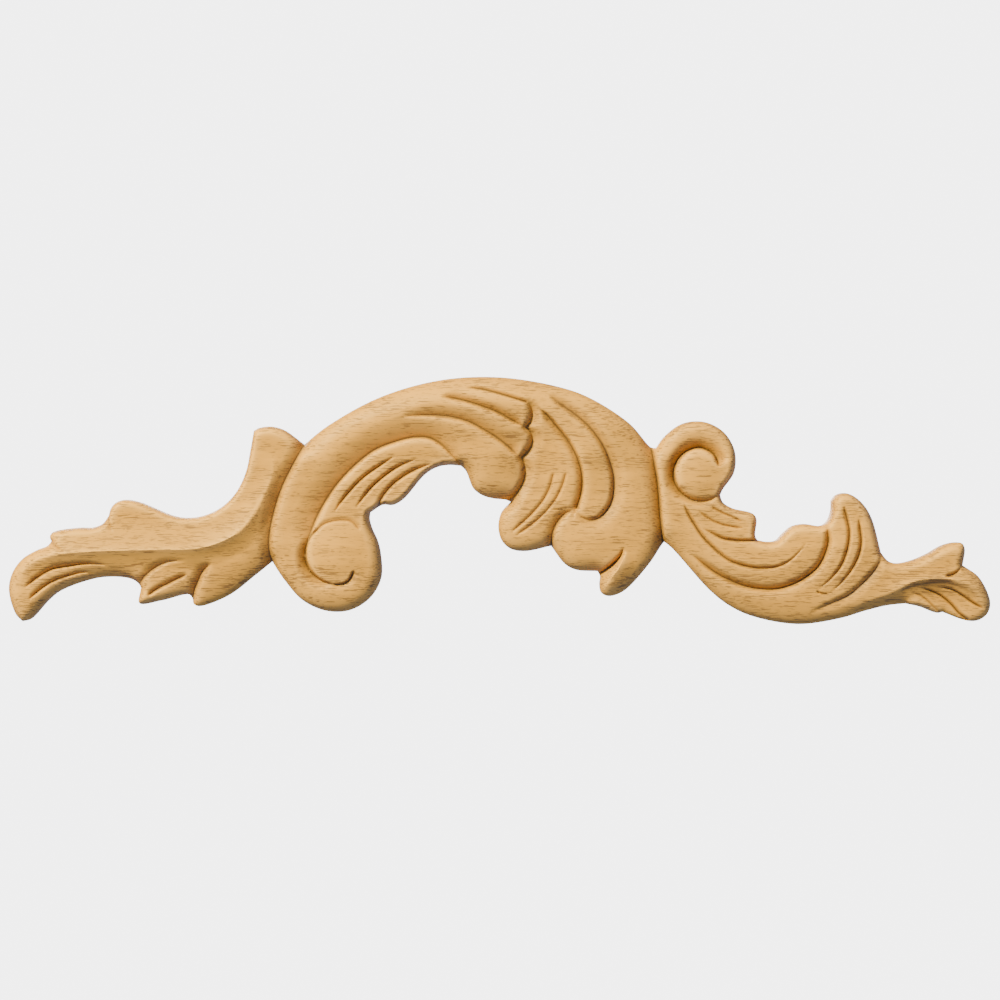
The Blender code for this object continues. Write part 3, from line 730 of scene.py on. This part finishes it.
@dataclass(frozen=True)
class BareHardwood:
    """Sanded bare hardwood: honey tan, with soft bands along the board and short brown pores."""

    light: Colour = (0.86, 0.425, 0.049, 1.0)
    dark: Colour = (0.55, 0.270, 0.034, 1.0)
    pore: Colour = (0.19, 0.098, 0.026, 1.0)
    # The hollow colour is painted shade, mixed in along the cuts and over deep cuts.
    hollow: Colour = (0.10, 0.063, 0.031, 1.0)
    # The ridge colour lightens convex ridges: partly sanding wear, partly a painted highlight.
    worn_and_lit: Colour = (0.90, 0.50, 0.12, 1.0)
    roughness: float = 0.50
    shine: float = 0.22
    wander: float = 0.004
    band_ends: tuple[float, float] = (0.34, 0.66)
    band_share: float = 0.62
    fibre_share: float = 0.5
    base_tone: float = 0.44
    fibre_roughness: float = 0.16
    pore_length: float = 0.0068
    pore_width: float = 0.00044
    fine_pore: tuple[float, float, float] = (0.45, 0.85, 0.7)
    pore_start: float = 0.68
    pore_crowding: float = 0.14
    pore_strength: float = 0.82
    # How much of the ridge colour is mixed in: partly wear, partly painted highlight.
    wear_and_highlight: float = 0.40
    # How strongly the painted shade colour is mixed into the cuts.
    shade: float = 0.92
    tool_marks: float = 2.5
    fibre_height: float = 0.35
    bump_strength: float = 0.5
    bump_depth: float = 0.00012

    def grain_group(self) -> bpy.types.NodeTree:
        """The grain as a node group.

        Returns:
            A group that takes Coordinates and Wander, and gives bent Coordinates, Bands and Fibres.
        """
        tree = bpy.data.node_groups.new("hardwood_grain", "ShaderNodeTree")
        tree.interface.new_socket("Coordinates", in_out="INPUT", socket_type="NodeSocketVector")
        tree.interface.new_socket("Wander", in_out="INPUT", socket_type="NodeSocketFloat")
        tree.interface.new_socket("Coordinates", in_out="OUTPUT", socket_type="NodeSocketVector")
        tree.interface.new_socket("Bands", in_out="OUTPUT", socket_type="NodeSocketFloat")
        tree.interface.new_socket("Fibres", in_out="OUTPUT", socket_type="NodeSocketFloat")
        sheet = NodeSheet(tree)
        taken = sheet.node("NodeGroupInput").outputs
        slow = sheet.vector("MULTIPLY", taken["Coordinates"], (9.0, 30.0, 30.0))
        middle = sheet.vector("SUBTRACT", sheet.noise(slow, 2.0).outputs["Color"], (0.5, 0.5, 0.5))
        grown = sheet.node("ShaderNodeVectorMath", operation="SCALE")
        sheet.feed((grown.inputs[0], grown.inputs["Scale"]), (middle, taken["Wander"]))
        bent = sheet.vector("ADD", taken["Coordinates"], grown.outputs[0])
        bands = sheet.noise(sheet.vector("MULTIPLY", bent, (7.0, 120.0, 150.0)), 4.0, 0.62)
        fibres = sheet.noise(sheet.vector("MULTIPLY", bent, (130.0, 1000.0, 1000.0)), 3.0)
        given = sheet.node("NodeGroupOutput").inputs
        sheet.feed((given["Coordinates"], given["Bands"], given["Fibres"]),
                   (bent, bands.outputs[0], fibres.outputs[0]))
        return tree

    def pore_group(self) -> bpy.types.NodeTree:
        """The pores as a node group.

        Returns:
            A group that takes Coordinates scaled to one pore's cell and the noise at which pores Start, and
            gives Pores.
        """
        tree = bpy.data.node_groups.new("hardwood_pores", "ShaderNodeTree")
        tree.interface.new_socket("Coordinates", in_out="INPUT", socket_type="NodeSocketVector")
        tree.interface.new_socket("Start", in_out="INPUT", socket_type="NodeSocketFloat")
        tree.interface.new_socket("Pores", in_out="OUTPUT", socket_type="NodeSocketFloat")
        sheet = NodeSheet(tree)
        taken = sheet.node("NodeGroupInput").outputs
        cells = sheet.noise(taken["Coordinates"], 1.0, 0.4)
        core = sheet.node("ShaderNodeMapRange", interpolation_type="SMOOTHSTEP")
        sheet.feed((core.inputs["Value"], core.inputs["From Min"], core.inputs["From Max"]),
                   (cells.outputs[0], taken["Start"], sheet.math("ADD", taken["Start"], 0.06)))
        given = sheet.node("NodeGroupOutput").inputs
        sheet.feed((given["Pores"],), (core.outputs[0],))
        return tree

    def material(self) -> bpy.types.Material:
        """The finish.

        Returns:
            A material that reads the mesh's painted_cavity_shade and ridge attributes: painted shade darkens
            the cuts, and the ridges are lightened partly as wear and partly as painted highlight.
        """
        made = bpy.data.materials.new("carved_wood")
        made.use_nodes = True
        sheet = NodeSheet(made.node_tree)
        shader = made.node_tree.nodes["Principled BSDF"]
        shader.location = (2200, 0)
        made.node_tree.nodes["Material Output"].location = (2500, 0)
        places = sheet.node("ShaderNodeTexCoord")
        grain = sheet.node("ShaderNodeGroup", node_tree=self.grain_group())
        sheet.feed(grain.inputs, (places.outputs["Object"], self.wander))
        bent, fibres = grain.outputs["Coordinates"], grain.outputs["Fibres"]
        bands = sheet.node("ShaderNodeMapRange")
        sheet.feed((bands.inputs["Value"], bands.inputs["From Min"], bands.inputs["From Max"]),
                   (grain.outputs["Bands"], *self.band_ends))
        pores, masks = self.pore_group(), []
        for long, wide in ((1, 1), self.fine_pore[:2]):
            length, width = self.pore_length * long, self.pore_width * wide
            cell = sheet.vector("MULTIPLY", bent, (1 / length, 0.3 / width, 1 / width))
            start = sheet.math("MULTIPLY_ADD", bands.outputs[0], -self.pore_crowding, self.pore_start)
            layer = sheet.node("ShaderNodeGroup", node_tree=pores)
            sheet.feed(layer.inputs, (cell, start))
            masks.append(layer.outputs["Pores"])
        both = sheet.math("MAXIMUM", masks[0], sheet.math("MULTIPLY", masks[1], self.fine_pore[2]))
        fine = sheet.math("MULTIPLY_ADD", fibres, self.fibre_share, self.base_tone)
        tone = sheet.math("MULTIPLY_ADD", bands.outputs[0], self.band_share, fine, clamp=True)
        # Painted shade in the cuts, read from the mesh attribute and mixed in with the hollow colour.
        painted_cavity_shade = sheet.node("ShaderNodeAttribute", attribute_name="painted_cavity_shade").outputs["Fac"]
        ridge = sheet.node("ShaderNodeAttribute", attribute_name="ridge").outputs["Fac"]
        wood = sheet.mixed(tone, self.light, self.dark)
        # Ridges painted lighter: partly sanding wear, partly painted highlight.
        ridge_lightened = sheet.mixed(sheet.math("MULTIPLY", ridge, self.wear_and_highlight), wood, self.worn_and_lit)
        cut_shaded_wood = sheet.mixed(sheet.math("MULTIPLY", painted_cavity_shade, self.shade), ridge_lightened, self.hollow)
        pored = sheet.mixed(sheet.math("MULTIPLY", both, self.pore_strength), cut_shaded_wood, self.pore)
        smoothest = self.roughness - self.fibre_roughness / 2
        rough = sheet.math("MULTIPLY_ADD", fibres, self.fibre_roughness, smoothest)
        worked = sheet.noise(sheet.vector("MULTIPLY", bent, (70.0, 90.0, 130.0)), 2.0)
        fibrous = sheet.math("MULTIPLY", fibres, self.fibre_height)
        uneven = sheet.math("MULTIPLY_ADD", worked.outputs[0], self.tool_marks, fibrous)
        bump = sheet.node("ShaderNodeBump")
        sheet.feed([bump.inputs[name] for name in ("Strength", "Distance", "Height")],
                   (self.bump_strength, self.bump_depth, sheet.math("MULTIPLY_ADD", both, -1.0, uneven)))
        names = ("Base Color", "Roughness", "Specular IOR Level", "Normal")
        sheet.feed([shader.inputs[name] for name in names], (pored, rough, self.shine, bump.outputs[0]))
        return made


@dataclass
class CarvedBoard:
    """The whole applique as one closed mesh, fine enough for its narrow cuts."""

    relief: Relief
    finish: BareHardwood
    node: str = "acanthus_applique"
    lengths: tuple[float, float, float] = (0.1072, 0.1600, 0.1329)
    height: float = 0.1008
    stations: tuple[float, float, float, float] = (10.2, 272.5, 664.0, 989.3)
    top: float = 377.1
    bottom: float = 623.8
    centre: Knot = (500.0, 440.0)
    pitch: float = 1.35
    edge_rows: tuple[float, ...] = (0.3, 0.9, 1.8)
    edge_gap: float = 0.75
    stroke_gap: float = 0.55
    filling_gap: float = 0.62
    wall_rows: int = 4
    ridge_rounds: int = 18
    ridge_height: float = 0.0007
    sharp_angle: float = 55.0

    def placed(self, points: np.ndarray, heights: np.ndarray) -> np.ndarray:
        """From the pattern to the part.

        Args:
            points: places on the pattern.
            heights: height over the back at each, in metres.

        Returns:
            Points in metres.
        """
        ends = np.cumsum([0.0, *self.lengths])
        across = np.interp(points[:, 0], self.stations, ends) - np.interp(self.centre[0], self.stations, ends)
        up = (self.centre[1] - points[:, 1]) * self.height / (self.bottom - self.top)
        return np.stack([across, -heights, up], axis=1)

    @staticmethod
    def beside(path: np.ndarray, distance: float) -> np.ndarray:
        """A row of points beside a path.

        Args:
            path: points of the path in order.
            distance: how far to its right the row lies, in squares.

        Returns:
            The points of the row.
        """
        run = np.gradient(path, axis=0)
        run /= np.maximum(np.linalg.norm(run, axis=1, keepdims=True), 1e-9)
        return path + distance * np.stack([-run[:, 1], run[:, 0]], axis=1)

    def samples(self, ring: np.ndarray) -> np.ndarray:
        """Places for the vertices within the outline.

        Args:
            ring: the closed outline.

        Returns:
            Rows along the edge, points along every stroke, then an even filling between them.
        """
        closed = np.vstack([ring, ring[:1]])
        groups = [(self.beside(closed, distance), distance * self.edge_gap) for distance in self.edge_rows]
        groups += [(spline(stroke.knots, self.pitch), self.pitch * self.stroke_gap)
                   for stroke in self.relief.strokes()]
        rise = self.pitch * math.sqrt(3) / 2
        low, high = ring.min(0), ring.max(0)
        rows = []
        for row in range(int((high[1] - low[1]) / rise) + 1):
            across = np.arange(low[0] + self.pitch / 2 * (row % 2), high[0], self.pitch)
            rows.append(np.stack([across, np.full(len(across), low[1] + row * rise)], axis=1))
        groups.append((np.vstack(rows), self.pitch * self.filling_gap))
        placed = [closed[:-1]]
        for points, gap in groups:
            points = points[self.relief.inside(points, ring)]
            before = np.vstack(placed)
            tree = KDTree(len(before))
            for index, point in enumerate(before):
                tree.insert((point[0], point[1], 0.0), index)
            tree.balance()
            kept = [point for point in points if tree.find((point[0], point[1], 0.0))[2] >= gap]
            if kept:
                placed.append(np.array(kept))
        return np.vstack(placed[1:])

    @staticmethod
    def triangles(corners: np.ndarray, edge_count: int) -> np.ndarray:
        """Triangles over the inside of the outline.

        Args:
            corners: points, with those of the outline first.
            edge_count: how many of them are the outline's.

        Returns:
            Triangles as rows of three indices.
        """
        places = [Vector(corner) for corner in corners.tolist()]
        found = delaunay_2d_cdt(places, [], [list(range(edge_count))], 1, 1e-7)
        given = [source[0] for source in found[3]]
        return np.array([[given[index] for index in triangle] for triangle in found[2]])

    @staticmethod
    def smoothed(values: np.ndarray, triangles: np.ndarray, rounds: int) -> np.ndarray:
        """Values averaged with their neighbours again and again.

        Args:
            values: one value to a vertex.
            triangles: triangles over the vertices.
            rounds: how many times they are averaged.

        Returns:
            The averaged values.
        """
        first = np.concatenate([triangles[:, 0], triangles[:, 1], triangles[:, 2]])
        second = np.concatenate([triangles[:, 1], triangles[:, 2], triangles[:, 0]])
        weight = np.bincount(first, minlength=len(values)) + np.bincount(second, minlength=len(values))
        for _ in range(rounds):
            total = np.bincount(first, values[second], len(values))
            total += np.bincount(second, values[first], len(values))
            values = total / np.maximum(weight, 1)
        return values

    def build(self) -> bpy.types.Object:
        """Builds and dresses the board.

        Returns:
            The new object, which stands in for the plain solid.
        """
        ring = self.relief.outline(self.pitch)[0]
        count = len(ring)
        corners = np.vstack([ring, self.samples(ring)])
        # The second value marks where the material paints shade into the cuts.
        heights, painted_cavity_shade = self.relief.height(corners)
        front = self.triangles(corners, count)
        near = self.smoothed(heights, front, self.ridge_rounds)
        # Ridge mask: where the material lightens the wood, partly as wear and partly as painted highlight.
        ridge = np.clip((heights - near) / self.ridge_height, 0, 1)
        levels = np.linspace(1, 0, self.wall_rows + 1)[1:]
        points = [self.placed(corners, heights)]
        points += [self.placed(ring, heights[:count] * level) for level in levels]
        total = len(corners)
        faces = front.tolist()
        previous = np.arange(count)
        for row in range(self.wall_rows):
            current = total + row * count + np.arange(count)
            after_previous, after_current = np.roll(previous, -1), np.roll(current, -1)
            faces += np.stack([previous, after_previous, after_current, current], axis=1).tolist()
            previous = current
        faces += (self.triangles(ring, count)[:, ::-1] + previous[0]).tolist()
        mesh = bpy.data.meshes.new(self.node + "_carved")
        mesh.from_pydata(np.vstack(points).tolist(), [], faces)
        if mesh.polygons[0].normal.y > 0:
            mesh.flip_normals()
        for name, values in (("painted_cavity_shade", painted_cavity_shade), ("ridge", ridge)):
            layer = mesh.attributes.new(name, "FLOAT", "POINT")
            padded = np.concatenate([values, np.zeros(len(mesh.vertices) - len(values))])
            layer.data.foreach_set("value", padded.astype(np.float32))
        mesh.shade_smooth()
        mesh.set_sharp_from_angle(angle=math.radians(self.sharp_angle))
        mesh.validate()
        mesh.materials.append(self.finish.material())
        board = bpy.data.objects.new(self.node + "_carved", mesh)
        bpy.context.scene.collection.objects.link(board)
        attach(board, "root")
        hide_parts(self.node)
        LOG.info("%s: %d vertices, %d faces", board.name, len(mesh.vertices), len(mesh.polygons))
        return board


@dataclass(frozen=True)
class Lamp:
    """A square soft light: its place, its side in metres, its power in watts and its colour."""

    name: str
    place: tuple[float, float, float]
    size: float
    power: float
    colour: tuple[float, float, float]


@dataclass(frozen=True)
class Studio:
    """A seamless pale floor that runs up into a dome, soft lights and the camera straight in front."""

    key: Lamp = Lamp("key", (-1.38, -1.62, 1.70), 0.5, 268.0, (1.0, 0.865, 0.42))
    back: Lamp = Lamp("back", (-0.4, 1.9, 0.5), 0.8, 30.0, (1.0, 0.97, 0.92))
    sky_colour: Colour = (0.83, 0.99, 1.75, 1.0)
    sky_strength: float = 0.48
    backdrop_strength: float = 4.0
    frame_width: float = 0.4078
    distance: float = 1.6
    level: float = -0.0245
    floor_level: float = -1.2
    floor_radius: float = 2.6
    cove_radius: float = 0.8
    dome_top: float = 3.4
    sides: int = 96

    def dome(self) -> bpy.types.Object:
        """The floor and the dome, one turned surface that only the camera sees.

        Returns:
            The dome.
        """
        profile = []
        for angle in np.linspace(-90, 0, 13):
            turn = math.radians(angle)
            profile.append((self.floor_radius + self.cove_radius * math.cos(turn),
                            self.floor_level + self.cove_radius * (1 + math.sin(turn))))
        wide, low = profile[-1]
        for angle in np.linspace(0, 85, 18)[1:]:
            turn = math.radians(angle)
            profile.append((wide * math.cos(turn), low + (self.dome_top - low) * math.sin(turn)))
        turns = np.linspace(0, 2 * math.pi, self.sides, endpoint=False)
        points = [(radius * math.cos(turn), radius * math.sin(turn), level) for radius, level in profile
                  for turn in turns]
        faces = [list(range(self.sides))]
        for row in range(len(profile) - 1):
            for step in range(self.sides):
                after = (step + 1) % self.sides
                low, high = row * self.sides, (row + 1) * self.sides
                faces.append([low + step, high + step, high + after, low + after])
        faces.append([(len(profile) - 1) * self.sides + step for step in reversed(range(self.sides))])
        mesh = bpy.data.meshes.new("pale_dome")
        mesh.from_pydata(points, [], faces)
        mesh.shade_smooth()
        made = bpy.data.materials.new("pale_backdrop")
        made.use_nodes = True
        shader = made.node_tree.nodes["Principled BSDF"]
        shader.inputs["Base Color"].default_value = (0.9, 0.9, 0.9, 1.0)
        shader.inputs["Roughness"].default_value = 0.9
        shader.inputs["Emission Color"].default_value = (1.0, 1.0, 1.0, 1.0)
        shader.inputs["Emission Strength"].default_value = self.backdrop_strength
        mesh.materials.append(made)
        dome = bpy.data.objects.new("pale_dome", mesh)
        for ray in ("diffuse", "glossy", "transmission", "shadow"):
            setattr(dome, "visible_" + ray, False)
        bpy.context.scene.collection.objects.link(dome)
        return dome

    def light(self, lamp: Lamp) -> bpy.types.Object:
        """Sets up a lamp, aimed at the applique and out of the camera's sight.

        Args:
            lamp: the lamp.

        Returns:
            The light.
        """
        data = bpy.data.lights.new(lamp.name, "AREA")
        data.size = lamp.size
        data.energy = lamp.power
        data.color = lamp.colour
        made = bpy.data.objects.new(lamp.name, data)
        made.location = lamp.place
        aim = Vector((0.0, 0.0, self.level)) - Vector(lamp.place)
        made.rotation_euler = aim.to_track_quat("-Z", "Y").to_euler()
        made.visible_camera = False
        bpy.context.scene.collection.objects.link(made)
        return made

    def camera(self) -> bpy.types.Object:
        """The camera, level and straight in front of the applique.

        Returns:
            The camera.
        """
        data = bpy.data.cameras.new("camera")
        data.sensor_width = 36.0
        data.lens = 36.0 * self.distance / self.frame_width
        made = bpy.data.objects.new("camera", data)
        made.location = (0.0, -self.distance - 0.006, self.level)
        made.rotation_euler = (math.pi / 2, 0.0, 0.0)
        bpy.context.scene.collection.objects.link(made)
        bpy.context.scene.camera = made
        return made

    def set_up(self) -> None:
        """Places the floor and dome, the lights, the sky and the camera."""
        self.dome()
        self.light(self.key)
        self.light(self.back)
        sky = bpy.data.worlds.new("studio_sky")
        sky.use_nodes = True
        sky.node_tree.nodes["Background"].inputs[0].default_value = self.sky_colour
        sky.node_tree.nodes["Background"].inputs[1].default_value = self.sky_strength
        bpy.context.scene.world = sky
        self.camera()
        LOG.info("studio set up")


def main() -> None:
    """Builds the applique and the studio and logs the board's vertex and face counts."""
    logging.basicConfig(level=logging.INFO, format="%(name)s: %(message)s")
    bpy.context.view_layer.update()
    relief = Relief((LeftLeaf(), ScrollArch(), RightLeaf()))
    CarvedBoard(relief, BareHardwood()).build()
    Studio().set_up()


if __name__ == "__main__":
    main()
